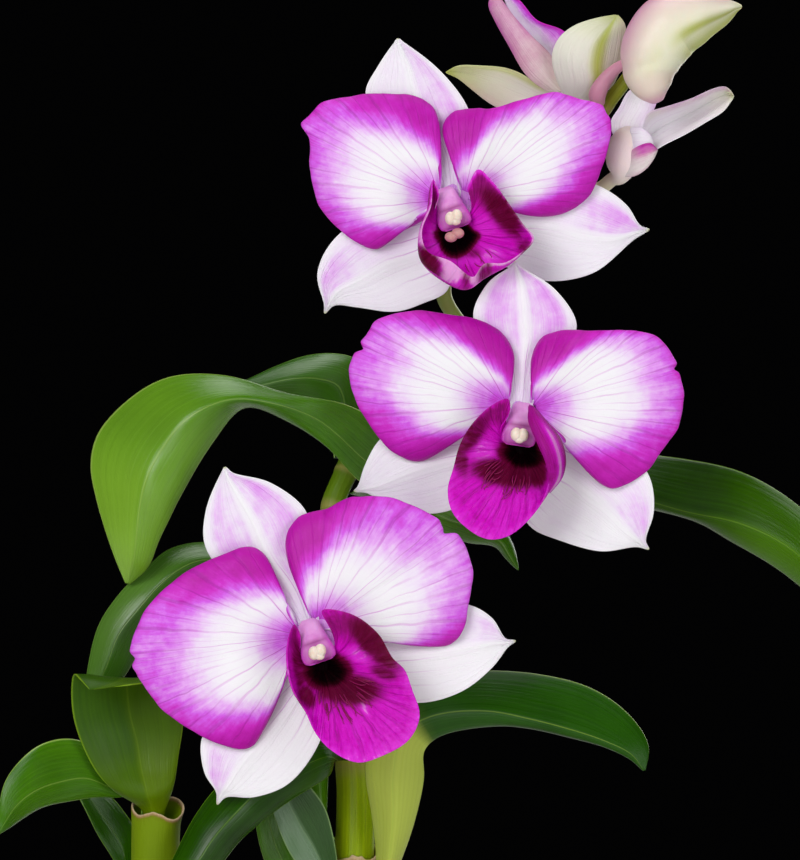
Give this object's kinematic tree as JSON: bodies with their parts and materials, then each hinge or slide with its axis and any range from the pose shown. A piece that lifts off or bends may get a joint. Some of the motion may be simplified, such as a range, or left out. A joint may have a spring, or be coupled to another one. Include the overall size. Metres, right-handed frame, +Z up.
{
  "type": "dendrobium orchid",
  "caption": "Potted dendrobium orchid with white and magenta blooms, half-open blooms, a bud, strap leaves on jointed canes and a plain clay pot of bark.",
  "frame": {"origin": "centre of the pot's foot, on the surface it stands on", "axes": "+Z up, the open blooms face -Y, +X to the right of someone who looks at the blooms"},
  "size_m": [0.1951, 0.114, 0.3505],
  "materials": {
    "clay": "matte",
    "bark": "matte",
    "cane": "satin",
    "sheath": "matte",
    "stem": "satin",
    "bright_leaf": "satin",
    "dark_leaf": "satin",
    "pale_leaf": "satin",
    "olive_leaf": "satin",
    "tepal": "matte",
    "lip": "matte",
    "column": "satin",
    "anther": "satin",
    "opening": "matte",
    "bud": "satin"
  },
  "bodies": {
    "root": {"pot": "clay", "bark": "bark", "left_cane": "cane", "middle_cane": "cane", "left_cane_sheath": "sheath", "middle_cane_sheath": "sheath", "flower_stem": "stem", "arched_leaf": "bright_leaf", "back_leaf": "bright_leaf", "low_left_leaf": "bright_leaf", "green_leaf": "bright_leaf", "node_leaf": "bright_leaf", "left_leaf": "bright_leaf", "right_leaf": "dark_leaf", "lower_left_leaf": "dark_leaf", "dark_leaf": "dark_leaf", "grey_leaf": "dark_leaf", "hanging_leaf": "pale_leaf", "pale_leaf": "pale_leaf", "upright_leaf": "olive_leaf", "top_bloom_tepals": "tepal", "top_bloom_lip": "lip", "top_bloom_column": "column", "top_bloom_anther_cap": "anther", "middle_bloom_tepals": "tepal", "middle_bloom_lip": "lip", "middle_bloom_column": "column", "middle_bloom_anther_cap": "anther", "lower_bloom_tepals": "tepal", "lower_bloom_lip": "lip", "lower_bloom_column": "column", "lower_bloom_anther_cap": "anther", "opening_bloom_left": "opening", "opening_bloom_right": "opening", "bud": "bud"}
  },
  "joints": []
}
